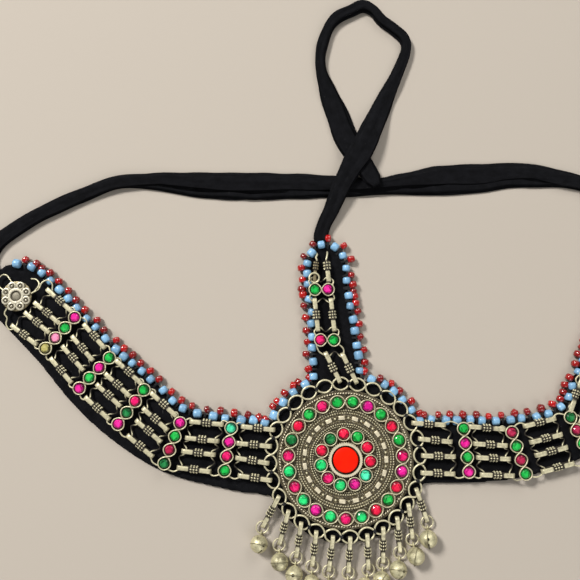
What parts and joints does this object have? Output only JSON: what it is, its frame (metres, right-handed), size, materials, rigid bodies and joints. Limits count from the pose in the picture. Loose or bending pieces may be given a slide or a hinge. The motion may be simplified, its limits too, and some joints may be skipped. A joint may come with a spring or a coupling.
{
  "type": "forehead headpiece",
  "caption": "Cotton headband set with rows of bound metal links, stone spacers and a round medallion with small hanging bells, a beaded crown strip and loose cloth ties; lies flat.",
  "frame": {"origin": "middle of the medallion, on the back of the cotton band that rests on the floor", "axes": "+X along the forehead to the wearer's left end of the band, +Y towards the crown, +Z out of the medallion's face"},
  "size_m": [0.2631, 0.2279, 0.0063],
  "materials": {
    "black_cotton": "matt woven cotton",
    "pale_metal": "worn silver-tone alloy with dark patina in the grooves",
    "dark_metal": "tarnished silver-tone alloy",
    "stone_green": "foiled cut glass",
    "stone_magenta": "foiled cut glass",
    "stone_red": "foiled cut glass",
    "stone_vermilion": "smooth opaque glass",
    "stone_pale": "foiled cut glass, worn pale",
    "bead_blue": "opaque seed beads",
    "bead_red": "seed beads",
    "thread": "sewing thread"
  },
  "bodies": {
    "root": {"cloth_band": "black_cotton", "back_tie": "black_cotton", "top_tie": "black_cotton", "medallion": "dark_metal", "medallion_centre_stone": "stone_vermilion", "medallion_outer_stones": "stone_green", "medallion_inner_stones": "stone_red", "spacer_left_1": "pale_metal", "spacer_left_2": "pale_metal", "spacer_left_3": "pale_metal", "spacer_left_4": "pale_metal", "spacer_left_5": "pale_metal", "spacer_right_1": "pale_metal", "spacer_right_2": "pale_metal", "spacer_right_3": "pale_metal", "spacer_right_4": "pale_metal", "spacer_right_5": "pale_metal", "crown_spacer_1": "pale_metal", "crown_spacer_2": "pale_metal", "rosette_left": "pale_metal", "rosette_right": "pale_metal", "spacer_stones_left": "stone_green", "spacer_stones_right": "stone_magenta", "crown_stones": "stone_green", "links_left_1": "pale_metal", "links_left_2": "pale_metal", "links_left_3": "pale_metal", "links_left_4": "pale_metal", "links_left_5": "pale_metal", "links_left_6": "pale_metal", "links_right_1": "pale_metal", "links_right_2": "pale_metal", "links_right_3": "pale_metal", "links_right_4": "pale_metal", "links_right_5": "pale_metal", "links_right_6": "pale_metal", "links_crown_1": "pale_metal", "links_crown_2": "pale_metal", "crown_hooks": "pale_metal", "drop_links": "pale_metal", "drop_rings": "pale_metal", "bell_01": "dark_metal", "bell_02": "dark_metal", "bell_03": "dark_metal", "bell_04": "dark_metal", "bell_05": "dark_metal", "bell_06": "dark_metal", "bell_07": "dark_metal", "bell_08": "dark_metal", "bell_09": "dark_metal", "bell_10": "dark_metal", "bell_11": "dark_metal"}
  },
  "joints": []
}
